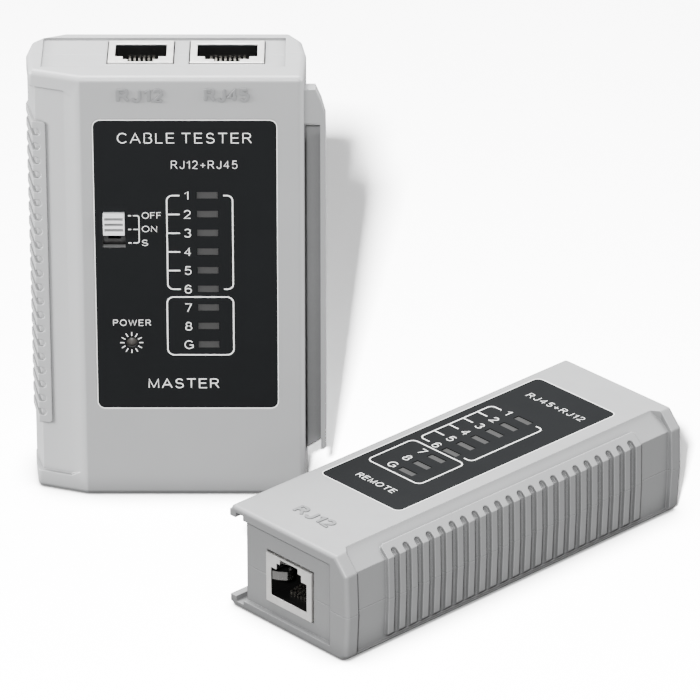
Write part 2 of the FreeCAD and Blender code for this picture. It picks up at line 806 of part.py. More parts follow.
def remote_end_cutters():
    sink = size("remote_end_sink")
    cutters = []
    for kind, level, way in REMOTE_JACKS:
        cutters.append(end_tray(-1, REMOTE_WIDE - 5.4, -DEEP + 2.5, DEEP - 2.3, level, way * sink))
        cutters.append(jack_window(kind, size("remote_jack_x"), size("remote_jack_front"),
                                   level - way * 4 * WALL, level + way))
    return cutters


def remote_shell(front):
    solid = remote_solid(front)
    low = WALL + size("remote_end_sink")
    high = LONG - low
    hollow = upright(shrunk(remote_outline(front, False), WALL), low, high)
    near, far = (SEAM - WALL - 0.1, SEAM + 1) if front else (SEAM - 1, SEAM + WALL + 0.1)
    mouth = block((WALL, near, low), (REMOTE_WIDE - 2 * WALL, far, high))
    if front:
        backing = upright([(REMOTE_WIDE - 1, SEAM), (REMOTE_WIDE - 3.0, SEAM),
                           (REMOTE_WIDE - 3.2, -DEEP + 5.4), (REMOTE_WIDE - 7.6, -DEEP + 2.6),
                           (REMOTE_WIDE - 5, -DEEP + 1), (REMOTE_WIDE - 1, -DEEP + 4)], low, high)
        inside = front_bosses(REMOTE_BOSSES) + front_posts(REMOTE_POSTS, REMOTE_BOARD_FRONT)
        tools = pilot_holes(REMOTE_BOSSES, REMOTE_POSTS, REMOTE_BOARD_FRONT)
        tools.append(label_bed(size("remote_label_x"), size("remote_label_low"), size("remote_label_wide"),
                               size("remote_label_tall")))
        tools.extend(lamp_holes(size("remote_lamp_x"), size("remote_lamp_low"), size("remote_lamp_pitch")))
    else:
        backing = upright([(REMOTE_WIDE - 1, SEAM), (REMOTE_WIDE - 3.0, SEAM),
                           (REMOTE_WIDE - 3.2, DEEP - 1.5), (REMOTE_WIDE - 1, DEEP - 1.5)], low, high)
        inside = rear_bosses(REMOTE_BOSSES)
        tools = screw_passages(REMOTE_BOSSES)
    shell = solid.cut(hollow.fuse(mouth)).fuse(joined(inside + [backing]).common(solid))
    shell = joined([shell, remote_hook(front), remote_ribs(front)])
    return shell.cut(tools + remote_end_cutters()).removeSplitter()


# ---------------------------------------------------------------- jacks

def jack_spans(middle, front, face, way):
    """Corner expressions shared by the pieces of a jack whose mouth looks along way * Z."""
    mouth_back = f"{front} + jack_tall - mouth_margin"
    step_back = f"{mouth_back} - mouth_tall"
    notch_back = f"{step_back} - step_tall"

    def levels(near, far):
        """Lower and upper z of what lies between two depths below the jack's face."""
        first = f"{face} - {way} * ({near})"
        second = f"{face} - {way} * ({far})"
        return (second, first) if way > 0 else (first, second)

    return mouth_back, step_back, notch_back, levels


def mouth_boxes(name, kind, middle, front, face, way, near, far):
    """Three boxes that make the stepped mouth: plug, latch ledge and latch notch."""
    mouth_back, step_back, notch_back, levels = jack_spans(middle, front, face, way)
    low, high = levels(near, far)
    rows = (("plug", f"jack{kind}_mouth / 2", step_back, mouth_back),
            ("ledge", f"jack{kind}_mouth / 2 - step_inset", notch_back, step_back),
            ("notch", "notch_wide / 2", f"{notch_back} - notch_tall", notch_back))
    boxes = []
    for word, half, start, end in rows:
        boxes.append(bound_box(f"{name}_{word}", (f"{middle} - ({half})", start, low),
                               (f"{middle} + ({half})", end, high)))
    return boxes


def jack_contacts(kind, middle, front, face, way):
    """Spring wires that slope away from the mouth's back wall, one for each way of the jack."""
    wall = front + size("jack_tall") - size("mouth_margin")
    profile = ((0.0, 3.1), (0.0, 3.5), (0.45, 3.6), (1.9, 9.2), (2.25, 9.2), (0.8, 3.1))
    corners = [(wall - off, face - way * deep) for off, deep in profile]
    ways = int(kind)
    wires = []
    for index in range(ways):
        x = middle + (index - (ways - 1) / 2) * size("contact_pitch") - size("contact_wide") / 2
        wires.append(sideways(corners, x, x + size("contact_wide")))
    return Part.makeCompound(wires)


def make_jack(name, kind, middle, front, face, way, placement):
    """Metal shield, moulded housing and contact wires of one modular jack."""
    levels = jack_spans(middle, front, face, way)[3]
    half = f"jack{kind}_wide / 2"
    left = f"{middle} - {half}"
    right = f"{middle} + {half}"
    back = f"{front} + jack_tall"
    low, high = levels(0, "jack_long")
    shell = bound_box(f"{name}_outside", (left, front, low), (right, back, high))
    low, high = levels("shield_thick", "jack_long + 1")
    inside = bound_box(f"{name}_inside", (f"{left} + shield_thick", f"{front} + shield_thick", low),
                       (f"{right} - shield_thick", f"{back} - shield_thick", high))
    cut_from(f"{name}_shield", shell,
             [inside] + mouth_boxes(f"{name}_face", kind, middle, front, face, way, "-1", "shield_thick + 1"),
             placement)
    low, high = levels("shield_thick", "jack_long")
    block_in = bound_box(f"{name}_block", (f"{left} + shield_thick", f"{front} + shield_thick", low),
                         (f"{right} - shield_thick", f"{back} - shield_thick", high))
    cut_from(f"{name}_housing", block_in,
             mouth_boxes(f"{name}_mouth", kind, middle, front, face, way, "0", "mouth_deep"), placement)
    keep_shape(f"{name}_contacts", jack_contacts(kind, dim(middle), dim(front), dim(face), way), placement)


# ---------------------------------------------------------------- small parts

def lamp_row(name, middle, first, pitch, board_front, placement):
    """Nine rectangular lamps that stand on the front of a circuit board."""
    lamps = []
    for index in range(LAMPS):
        z = f"{first} + {index} * {pitch}"
        low = (f"{middle} - lamp_wide / 2", "lamp_sink - body_deep / 2", f"{z} - lamp_tall / 2")
        high = (f"{middle} + lamp_wide / 2", board_front, f"{z} + lamp_tall / 2")
        lamps.append(bound_box(f"{name}_{index + 1}", low, high))
    return group(name, lamps, placement)


def lamp_windows(name, middle, first, pitch):
    """Openings through a label for its nine lamps."""
    windows = []
    for index in range(LAMPS):
        z = f"{first} + {index} * {pitch}"
        low = (f"{middle} - lamp_wide / 2 - 0.05", "-body_deep", f"{z} - lamp_tall / 2 - 0.05")
        high = (f"{middle} + lamp_wide / 2 + 0.05", "0", f"{z} + lamp_tall / 2 + 0.05")
        windows.append(bound_box(f"{name}_{index + 1}", low, high))
    return windows


def screw_shape(x, z, seat, head_radius, head_thick, radius, reach):
    """A pan-head screw driven along -Y, with a cross recess; seat is the y its head bears on."""
    head = rod(head_radius, head_thick, (x, seat, z), (0, 1, 0))
    head = rounded(head, head_thick * 0.45, lambda edge: edge.BoundBox.YMin > seat + 0.1)
    shank = rod(radius, reach, (x, seat - reach, z), (0, 1, 0))
    arm = head_radius * 0.62
    slot = head_radius * 0.13
    floor = seat + head_thick * 0.4
    top = seat + head_thick + 1
    cross = [block((x - arm, floor, z - slot), (x + arm, top, z + slot)),
             block((x - slot, floor, z - arm), (x + slot, top, z + arm))]
    return head.fuse(shank).cut(cross).removeSplitter()


def case_screws(places):
    seat = DEEP - 3.0
    reach = seat - SEAM + size("screw_bite")
    return Part.makeCompound([screw_shape(x, z, seat, size("screw_head_wide") / 2, size("screw_head_thick"),
                                          size("screw_wide") / 2, reach) for x, z in places])


def board_screws(places, board_back):
    reach = size("board_thick") + size("board_screw_bite")
    return Part.makeCompound([screw_shape(x, z, board_back, size("board_head_wide") / 2,
                                          size("board_head_thick"), size("board_screw_wide") / 2, reach)
                              for x, z in places])


def axial_part(x, z, board_back, radius, long):
    """A resistor or diode lying along X, its two leads bent down to the board's rear face."""
    lead = size("part_lead_radius")
    reach = size("part_lead_reach")
    y = board_back + radius + 0.15
    half = long / 2
    body = rod(radius, long, (x - half, y, z), (1, 0, 0))
    body = rounded(body, radius * 0.35, lambda edge: edge.Curve.TypeId == "Part::GeomCircle")
    wires = [rod(lead, long + 2 * reach, (x - half - reach, y, z), (1, 0, 0))]
    for end in (x - half - reach, x + half + reach):
        wires.append(rod(lead, y - board_back, (end, board_back, z), (0, 1, 0)))
        wires.append(Part.makeSphere(lead, Vector(end, y, z)))
    return joined([body] + wires)


def axial_row(count, x, first, pitch, board_back, radius, long):
    return Part.makeCompound([axial_part(x, first + index * pitch, board_back, radius, long)
                              for index in range(count)])


def make_chip(name, ways, middle, z, board_back, placement):
    """A moulded chip and the two rows of legs that hold it off the board."""
    per_side = ways // 2
    base = f"{board_back} + chip_lift"
    half = f"{per_side} * leg_pitch / 2"
    body = bound_box(f"{name}_moulding", (f"{middle} - {half}", base, f"{z} - chip_wide / 2"),
                     (f"{middle} + {half}", f"{base} + chip_thick", f"{z} + chip_wide / 2"))
    group(name, [body], placement)
    legs = []
    for index in range(per_side):
        x = f"{middle} + ({index} - {(per_side - 1) / 2}) * leg_pitch"
        for row, start, end in (("a", f"{z} - chip_wide / 2 - leg_thick", f"{z} - chip_wide / 2"),
                                ("b", f"{z} + chip_wide / 2", f"{z} + chip_wide / 2 + leg_thick")):
            legs.append(bound_box(f"{name}_leg_{row}{index + 1}", (f"{x} - leg_wide / 2", board_back, start),
                                  (f"{x} + leg_wide / 2", f"{base} + chip_thick / 2", end)))
    group(f"{name}_legs", legs, placement)


def bent_wire(points, radius):
    """A round wire through points, its straight runs joined by tangent arcs."""
    points = [Vector(*point) for point in points]
    starts = [points[0]]
    pieces = []
    for index in range(1, len(points) - 1):
        before = points[index] - points[index - 1]
        after = points[index + 1] - points[index]
        half_turn = before.getAngle(after) / 2
        trim = 0.45 * min(before.Length, after.Length)
        bend = trim / math.tan(half_turn)
        enter = points[index] - before.normalize() * trim
        leave = points[index] + after.normalize() * trim
        inward = (after - before).normalize()
        middle = points[index] + inward * (bend / math.cos(half_turn) - bend)
        pieces.append(Part.makeLine(starts[-1], enter))
        pieces.append(Part.Arc(enter, middle, leave).toShape())
        starts.append(leave)
    pieces.append(Part.makeLine(starts[-1], points[-1]))
    path = Part.Wire(pieces)
    ring = Part.Wire(Part.makeCircle(radius, points[0], points[1] - points[0]))
    return path.makePipeShell([ring], True, True)


# ---------------------------------------------------------------- main unit

MAIN = FreeCAD.Placement()
REMOTE = FreeCAD.Placement(REMOTE_NEAR_END + Vector(0, 0, DEEP),
                           FreeCAD.Rotation(Z_AXIS, REMOTE_YAW - 90) * FreeCAD.Rotation(X_AXIS, -90))

keep_shape("main_front_shell", main_front_shell(), MAIN)
keep_shape("main_rear_shell", main_rear_shell(), MAIN)
keep_shape("battery_door", battery_door(), MAIN)

FACE = "-body_deep / 2"
label = slab("main_label_plate",
             rectangle("label_middle_x - label_wide / 2", "label_low", "label_wide", "label_tall"),
             FACE, f"{FACE} + label_thick", "label_round")
openings = lamp_windows("main_window", "lamp_x", "lamp_low", "lamp_pitch")
openings.append(bound_rod("power_window", "power_window_wide / 2", "body_deep",
                          ("power_x", "-body_deep", "power_z"), Y_AXIS))
SLOT_LOW = "knob_top - knob_tall - knob_travel - slot_gap"
openings.append(bound_box("switch_window", ("slot_x - slot_wide / 2", "-body_deep", SLOT_LOW),
                          ("slot_x + slot_wide / 2", "0", "knob_top + slot_gap")))
cut_from("main_label", label, openings, MAIN)

MAIN_FRONT_SIDE = "main_jack_front - board_thick"
holes = [bound_rod(f"main_board_hole_{index}", "board_screw_wide / 2 + 0.1", "4 * board_thick",
                   (x, "main_jack_front - 2 * board_thick", z), Y_AXIS)
         for index, (x, z) in enumerate(MAIN_POSTS, start=1)]
SWITCH_MIDDLE = "knob_top - (knob_tall + knob_travel) / 2"
PINS = [f"{SWITCH_MIDDLE} + ({index} - 1.5) * 3" for index in range(4)]
for index, z in enumerate(PINS, start=1):
    holes.append(bound_rod(f"switch_pin_hole_{index}", "0.6", "4 * board_thick",
                           ("slot_x", "main_jack_front - 2 * board_thick", z), Y_AXIS))
board = slab("main_board_plate",
             rectangle("main_board_left", "main_board_low", "main_board_wide", "main_board_tall"),
             MAIN_FRONT_SIDE, "main_jack_front", "board_round")
cut_from("main_circuit_board", board, holes, MAIN)

lamp_row("main_lamps", "lamp_x", "lamp_low", "lamp_pitch", MAIN_FRONT_SIDE, MAIN)
DOME = "power_lamp_wide / 2 - body_deep / 2 + label_thick"
dome = doc.addObject("Part::Sphere", "power_lamp_dome")
dome.setExpression("Radius", bound("power_lamp_wide / 2"))
place(dome, ("power_x", DOME, "power_z"))
power_lamp = merged("power_lamp", [
    dome,
    bound_rod("power_lamp_stem", "power_lamp_wide / 2", f"{MAIN_FRONT_SIDE} - ({DOME})",
              ("power_x", DOME, "power_z"), Y_AXIS),
    bound_rod("power_lamp_flange", "power_lamp_wide / 2 + 0.4", "1",
              ("power_x", f"{MAIN_FRONT_SIDE} - 1", "power_z"), Y_AXIS)])
keep("power_lamp", power_lamp, MAIN)

# slide switch: metal frame over a moulded base, with a sliding knob between them
KNOB_MIDDLE = "knob_top - knob_tall / 2"
frame_corner = ("slot_x - switch_wide / 2", f"{SWITCH_MIDDLE} - switch_tall / 2")
frame_far = ("slot_x + switch_wide / 2", f"{SWITCH_MIDDLE} + switch_tall / 2")
outside = bound_box("switch_cover", (frame_corner[0], "switch_front", frame_corner[1]),
                    (frame_far[0], "switch_split", frame_far[1]))
hollow = bound_box("switch_hollow",
                   (f"{frame_corner[0]} + switch_sheet", "switch_front + switch_sheet",
                    f"{frame_corner[1]} + switch_sheet"),
                   (f"{frame_far[0]} - switch_sheet", "0", f"{frame_far[1]} - switch_sheet"))
slot = bound_box("switch_slot",
                 ("slot_x - stem_wide / 2 - 0.15", "switch_front - 1",
                  f"{KNOB_MIDDLE} - stem_tall / 2 - knob_travel - slot_gap"),
                 ("slot_x + stem_wide / 2 + 0.15", "switch_split",
                  f"{KNOB_MIDDLE} + stem_tall / 2 + slot_gap"))
cut_from("switch_frame", outside, [hollow, slot], MAIN)
base = bound_box("switch_base_block", (frame_corner[0], "switch_split", frame_corner[1]),
                 (frame_far[0], MAIN_FRONT_SIDE, frame_far[1]))
group("switch_base", [base], MAIN)
pins = [bound_box(f"switch_pin_{index}", ("slot_x - 0.35", MAIN_FRONT_SIDE, f"{z} - 0.2"),
                  ("slot_x + 0.35", "main_jack_front + 1", f"{z} + 0.2"))
        for index, z in enumerate(PINS, start=1)]
group("switch_terminals", pins, MAIN)
button = bound_box("knob_cap", ("slot_x - knob_wide / 2", f"{FACE} - knob_proud", "knob_top - knob_tall"),
                   ("slot_x + knob_wide / 2", "switch_front - 0.3", "knob_top"))
stem = bound_box("knob_stem",
                 ("slot_x - stem_wide / 2", "switch_front - 0.3", f"{KNOB_MIDDLE} - stem_tall / 2"),
                 ("slot_x + stem_wide / 2", "foot_front", f"{KNOB_MIDDLE} + stem_tall / 2"))
foot = bound_box("knob_foot", ("slot_x - knob_wide / 2", "foot_front", "knob_top - knob_tall"),
                 ("slot_x + knob_wide / 2", "foot_back", "knob_top"))
grooves = []
for index in range(3):
    z = f"{KNOB_MIDDLE} + ({index} - 1) * knob_groove_pitch"
    grooves.append(bound_box(f"knob_groove_{index + 1}",
                             ("slot_x - knob_groove_wide / 2", "-body_deep", f"{z} - knob_groove_tall / 2"),
                             ("slot_x + knob_groove_wide / 2", f"{FACE} - knob_proud + knob_groove_deep",
                              f"{z} + knob_groove_tall / 2")))
cut_from("switch_knob", merged("knob_blank", [button, stem, foot]), grooves, MAIN)

for kind, middle in MAIN_JACKS:
    make_jack(f"main_jack_{kind}p", kind, middle, "main_jack_front", "body_long - main_jack_sunk", 1, MAIN)

make_chip("counter_chip", 16, "2", "69", "main_jack_front", MAIN)
make_chip("timer_chip", 8, "-11", "53", "main_jack_front", MAIN)
keep_shape("main_resistors", axial_row(9, 6.0, 38.6, 2.9, MAIN_BOARD_BACK, size("resistor_radius"),
                                       size("resistor_long")), MAIN)
group("supply_capacitor", [bound_rod("supply_can", "3.1", "9", (-12, "main_jack_front", 41), Y_AXIS)], MAIN)
group("timing_capacitor", [bound_box("timing_block", (13.5, "main_jack_front", 57),
                                     (20.7, "main_jack_front + 6", 60))], MAIN)

battery = slab("battery_blank", rectangle("battery_left", "battery_low", "battery_long", "battery_tall"),
               "body_deep / 2 - wall - 0.3 - battery_deep", "body_deep / 2 - wall - 0.3", "battery_round")
group("battery", [battery], MAIN)
BATTERY_END = "battery_left + battery_long"
STUD_Y = "body_deep / 2 - wall - 0.3 - battery_deep / 2"
STUDS = (("plus", "2.85", "battery_low + (battery_tall - stud_apart) / 2"),
         ("minus", "3.6", "battery_low + (battery_tall + stud_apart) / 2"))
group("battery_terminals", [bound_rod(f"stud_{word}", radius, "stud_tall", (BATTERY_END, STUD_Y, z), X_AXIS)
                            for word, radius, z in STUDS], MAIN)
cap = bound_box("snap_cap_block", (f"{BATTERY_END} + 0.1", f"{STUD_Y} - 6.8", "battery_low + 0.4"),
                (f"{BATTERY_END} + cap_thick", f"{STUD_Y} + 6.8", "battery_low + battery_tall - 0.4"))
wells = [bound_rod(f"snap_well_{word}", f"{radius} + 0.2", "stud_tall + 1.5",
                   (f"{BATTERY_END} - 1", STUD_Y, z), X_AXIS) for word, radius, z in STUDS]
cut_from("battery_snap_cap", cap, wells, MAIN)
SNAP_X = f"{BATTERY_END} + stud_tall + 0.05"
group("snap_contacts", [bound_rod(f"snap_disc_{word}", radius, "0.35", (SNAP_X, STUD_Y, z), X_AXIS)
                        for word, radius, z in STUDS], MAIN)
LEAD_X = dim(BATTERY_END) + size("cap_thick") / 2
for colour, y in (("red", 0.2), ("black", 2.9)):
    route = [(LEAD_X, y, size("battery_low") + size("battery_tall") - 0.4), (LEAD_X, y, 30.3),
             (19.5, y, 30.3), (19.5, y, 38.0 + y), (19.5, MAIN_BOARD_BACK, 38.0 + y)]
    keep_shape(f"{colour}_battery_lead", bent_wire(route, size("lead_radius")), MAIN)

keep_shape("main_case_screws", case_screws(MAIN_BOSSES), MAIN)
keep_shape("main_board_screws", board_screws(MAIN_POSTS, MAIN_BOARD_BACK), MAIN)

# ---------------------------------------------------------------- remote unit

keep_shape("remote_front_shell", remote_shell(True), REMOTE)
keep_shape("remote_rear_shell", remote_shell(False), REMOTE)
label = slab("remote_label_plate",
             rectangle("remote_label_x - remote_label_wide / 2", "remote_label_low", "remote_label_wide",
                       "remote_label_tall"), FACE, f"{FACE} + label_thick", "label_round")
cut_from("remote_label", label,
         lamp_windows("remote_window", "remote_lamp_x", "remote_lamp_low", "remote_lamp_pitch"), REMOTE)
REMOTE_FRONT_SIDE = "remote_jack_front - board_thick"
holes = []
for word, places, radius in (("screw", REMOTE_POSTS, "board_screw_wide / 2 + 0.1"),
                             ("boss", REMOTE_BOSSES, "boss_wide / 2 + 0.3")):
    for index, (x, z) in enumerate(places, start=1):
        holes.append(bound_rod(f"remote_{word}_hole_{index}", radius, "4 * board_thick",
                               (x, "remote_jack_front - 2 * board_thick", z), Y_AXIS))
board = slab("remote_board_plate",
             rectangle("remote_board_left", "remote_board_low", "remote_board_wide", "remote_board_tall"),
             REMOTE_FRONT_SIDE, "remote_jack_front", "board_round")
cut_from("remote_circuit_board", board, holes, REMOTE)
lamp_row("remote_lamps", "remote_lamp_x", "remote_lamp_low", "remote_lamp_pitch", REMOTE_FRONT_SIDE, REMOTE)
for kind, level, way in REMOTE_JACKS:
    face = "remote_jack_sunk" if way < 0 else "body_long - remote_jack_sunk"
    make_jack(f"remote_jack_{kind}p", kind, "remote_jack_x", "remote_jack_front", face, way, REMOTE)
keep_shape("remote_resistors", axial_row(9, 9.5, 34.6, 4.0, REMOTE_BOARD_BACK, size("resistor_radius"),
                                         size("resistor_long")), REMOTE)
keep_shape("remote_diodes", axial_row(8, 20.5, 36.6, 4.0, REMOTE_BOARD_BACK, size("diode_radius"),
                                      size("diode_long")), REMOTE)
keep_shape("remote_case_screws", case_screws(REMOTE_BOSSES), REMOTE)
keep_shape("remote_board_screws", board_screws(REMOTE_POSTS, REMOTE_BOARD_BACK), REMOTE)

# ---------------------------------------------------------------- checks and export

doc.recompute()
for item in doc.Objects:
    assert not {"Invalid", "Error"} & set(item.State), (item.Name, item.State)
os.makedirs("parts", exist_ok=True)
for name, feature in SUB_PARTS.items():
    shape = feature.Shape
    assert not shape.isNull() and shape.isValid() and shape.Solids, name
    print(name, len(shape.Solids), round(shape.Volume, 2))
for name, feature in SUB_PARTS.items():
    feature.Shape.exportStep(f"parts/{name}.step")
print(len(SUB_PARTS), "sub-parts")
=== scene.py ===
"""Looks for the two-piece network cable tester: casings, labels, sockets, lamps and studio."""
import bmesh
import bpy
import json
import math
from mathutils import Matrix, Vector

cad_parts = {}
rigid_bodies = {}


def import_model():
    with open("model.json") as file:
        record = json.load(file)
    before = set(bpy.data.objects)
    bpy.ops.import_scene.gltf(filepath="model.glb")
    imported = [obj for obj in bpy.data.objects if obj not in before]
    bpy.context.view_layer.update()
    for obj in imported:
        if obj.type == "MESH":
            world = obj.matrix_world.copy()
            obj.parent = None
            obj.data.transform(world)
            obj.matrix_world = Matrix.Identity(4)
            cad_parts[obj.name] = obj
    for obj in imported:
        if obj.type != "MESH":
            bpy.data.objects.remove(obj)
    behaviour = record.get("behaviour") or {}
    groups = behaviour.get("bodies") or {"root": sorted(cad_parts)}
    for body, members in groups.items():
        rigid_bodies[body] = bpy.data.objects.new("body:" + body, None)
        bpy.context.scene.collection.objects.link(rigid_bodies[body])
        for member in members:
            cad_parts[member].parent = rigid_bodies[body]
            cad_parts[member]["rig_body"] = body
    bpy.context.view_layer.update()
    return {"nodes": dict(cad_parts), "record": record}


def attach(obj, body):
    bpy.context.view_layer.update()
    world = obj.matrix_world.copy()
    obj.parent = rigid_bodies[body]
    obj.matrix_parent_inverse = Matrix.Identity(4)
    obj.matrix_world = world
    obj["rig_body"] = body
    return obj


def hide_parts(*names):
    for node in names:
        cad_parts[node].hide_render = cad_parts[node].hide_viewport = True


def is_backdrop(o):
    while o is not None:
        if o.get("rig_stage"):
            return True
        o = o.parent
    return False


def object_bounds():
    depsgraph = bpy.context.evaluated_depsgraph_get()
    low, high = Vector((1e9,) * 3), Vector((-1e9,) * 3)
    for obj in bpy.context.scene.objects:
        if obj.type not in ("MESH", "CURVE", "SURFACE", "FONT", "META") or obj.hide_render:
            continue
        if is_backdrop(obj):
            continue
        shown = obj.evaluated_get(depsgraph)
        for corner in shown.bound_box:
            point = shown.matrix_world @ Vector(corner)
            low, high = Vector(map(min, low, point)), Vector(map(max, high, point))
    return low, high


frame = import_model()
NODES = frame["nodes"]
MM = 0.001
# In each unit's own millimetres, x is to its right, z is up its length and y = FACE is its front.
FACE = -12.0
YAW = math.radians(43.32)
MAIN = Matrix.Scale(MM, 4)
# The remote lies on its back, turned by YAW.
REMOTE = Matrix.Translation(Vector((16.85, -64.35, 12.0)) * MM) @ Matrix((
    (math.sin(YAW), 0, math.cos(YAW), 0),
    (-math.cos(YAW), 0, math.sin(YAW), 0),
    (0, -1, 0, 0),
    (0, 0, 0, 1))) @ MAIN
UNITS = {"main_unit": MAIN, "remote_unit": REMOTE}


# ---------------------------------------------------------------- materials

class Shader:
    """A node material built up from a Principled shader."""

    def __init__(self, name, color, roughness, metallic=0.0):
        self.material = bpy.data.materials.new(name)
        self.material.use_nodes = True
        self.tree = self.material.node_tree
        self.main = self.tree.nodes["Principled BSDF"]
        self.main.inputs["Roughness"].default_value = roughness
        self.main.inputs["Metallic"].default_value = metallic
        self.main.inputs["Base Color"].default_value = (*color, 1.0)
        self.color = color
        self.place = self.tree.nodes.new("ShaderNodeTexCoord").outputs["Object"]

    def node(self, kind):
        return self.tree.nodes.new("ShaderNode" + kind)

    def link(self, start, end):
        self.tree.links.new(start, end)

    def noise(self, size_mm, detail):
        """Noise whose features are about size_mm across."""
        noise = self.node("TexNoise")
        noise.inputs["Scale"].default_value = 1.0 / (size_mm * MM)
        noise.inputs["Detail"].default_value = detail
        self.link(self.place, noise.inputs["Vector"])
        return noise.outputs["Fac"]

    def ramp(self, source, low, high):
        """source spread from low to high, each a number."""
        spread = self.node("MapRange")
        spread.inputs["From Min"].default_value = 0.3
        spread.inputs["From Max"].default_value = 0.7
        spread.inputs["To Min"].default_value = low
        spread.inputs["To Max"].default_value = high
        self.link(source, spread.inputs["Value"])
        return spread.outputs["Result"]

    def mix(self, factor, first, second, blend="MIX"):
        """Two colours mixed; each colour and the factor is a value or another node's output."""
        mix = self.node("Mix")
        mix.data_type = "RGBA"
        mix.blend_type = blend
        sockets = (mix.inputs["Factor"], mix.inputs[6], mix.inputs[7])
        for socket, source in zip(sockets, (factor, first, second)):
            if isinstance(source, bpy.types.NodeSocket):
                self.link(source, socket)
            else:
                socket.default_value = source
        return mix.outputs[2]

    def base_source(self):
        return self.main.inputs["Base Color"].links[0].from_socket

    def tint(self, source, strength):
        """Varies the base colour by +-strength as source varies."""
        dark = (*[channel * (1 - strength) for channel in self.color], 1)
        pale = (*[channel * (1 + strength) for channel in self.color], 1)
        self.link(self.mix(self.ramp(source, 0, 1), dark, pale), self.main.inputs["Base Color"])

    def painted_crevice_shade(self, reach_mm, depth):
        """Painted shade: darkens the base colour where nearby surfaces close in."""
        shade = self.node("AmbientOcclusion")
        shade.samples = 8
        shade.inputs["Distance"].default_value = reach_mm * MM
        spread = self.node("MapRange")
        spread.inputs["From Min"].default_value = 0.35
        spread.inputs["From Max"].default_value = 0.9
        spread.inputs["To Min"].default_value = 1 - depth
        self.link(shade.outputs["AO"], spread.inputs["Value"])
        shaded = self.mix(1.0, self.base_source(), spread.outputs["Result"], "MULTIPLY")
        self.link(shaded, self.main.inputs["Base Color"])

    def painted_edge_highlights(self, reach_mm, gain):
        """Painted highlight: brightens the base colour along edges, where a rounded edge's normal leaves the
        true one.
        """
        edge = self.node("Bevel")
        edge.samples = 6
        edge.inputs["Radius"].default_value = reach_mm * MM
        match = self.node("VectorMath")
        match.operation = "DOT_PRODUCT"
        self.link(edge.outputs["Normal"], match.inputs[0])
        self.link(self.node("NewGeometry").outputs["Normal"], match.inputs[1])
        spread = self.node("MapRange")
        spread.inputs["From Min"].default_value = 0.84
        spread.inputs["From Max"].default_value = 0.99
        spread.inputs["To Min"].default_value = 1 + gain
        spread.inputs["To Max"].default_value = 1.0
        self.link(match.outputs["Value"], spread.inputs["Value"])
        highlighted = self.mix(1.0, self.base_source(), spread.outputs["Result"], "MULTIPLY")
        self.link(highlighted, self.main.inputs["Base Color"])

    def roughness(self, source, low, high):
        self.link(self.ramp(source, low, high), self.main.inputs["Roughness"])

    def bump(self, source, height_mm, edge_mm=0.0):
        """Relief of a height, over edges that look rounded by edge_mm."""
        bump = self.node("Bump")
        if edge_mm:
            edge = self.node("Bevel")
            edge.samples = 6
            edge.inputs["Radius"].default_value = edge_mm * MM
            self.link(edge.outputs["Normal"], bump.inputs["Normal"])
        bump.inputs["Distance"].default_value = height_mm * MM
        bump.inputs["Strength"].default_value = 1.0
        self.link(source, bump.inputs["Height"])
        self.link(bump.outputs["Normal"], self.main.inputs["Normal"])


SHEEN_SPREAD = 0.05


def plastic(name, color, roughness, grain, height, patch=0.03, gloss=0.5, crevice_shade=0.0, reach=4.0,
            edge=0.0, edge_highlight=0.0):
    """Moulded plastic. grain, height, reach and edge are in mm; patch, the painted crevice shade and the
    painted edge highlight are shares of its colour."""
    shader = Shader(name, color, roughness)
    shader.main.inputs["Specular IOR Level"].default_value = gloss
    shader.tint(shader.noise(9.0, 4.0), patch)
    shader.roughness(shader.noise(4.0, 5.0), roughness - SHEEN_SPREAD, roughness + SHEEN_SPREAD)
    shader.bump(shader.noise(grain, 2.0), height, edge)
    if edge_highlight:
        shader.painted_edge_highlights(edge * 0.8, edge_highlight)
    if crevice_shade:
        shader.painted_crevice_shade(reach, crevice_shade)
    return shader.material


def metal(name, color, roughness, grain=0.5, crevice_shade=0.0):
    """Sheet or wire, with its grain in mm, and a share of its colour taken out in deep places as painted
    shade.
    """
    shader = Shader(name, color, roughness, 1.0)
    shader.tint(shader.noise(3.0, 4.0), 0.06)
    shader.roughness(shader.noise(grain, 4.0), roughness - 0.08, roughness + 0.1)
    shader.bump(shader.noise(grain, 3.0), 0.01)
    if crevice_shade:
        shader.painted_crevice_shade(8.0, crevice_shade)
    return shader.material


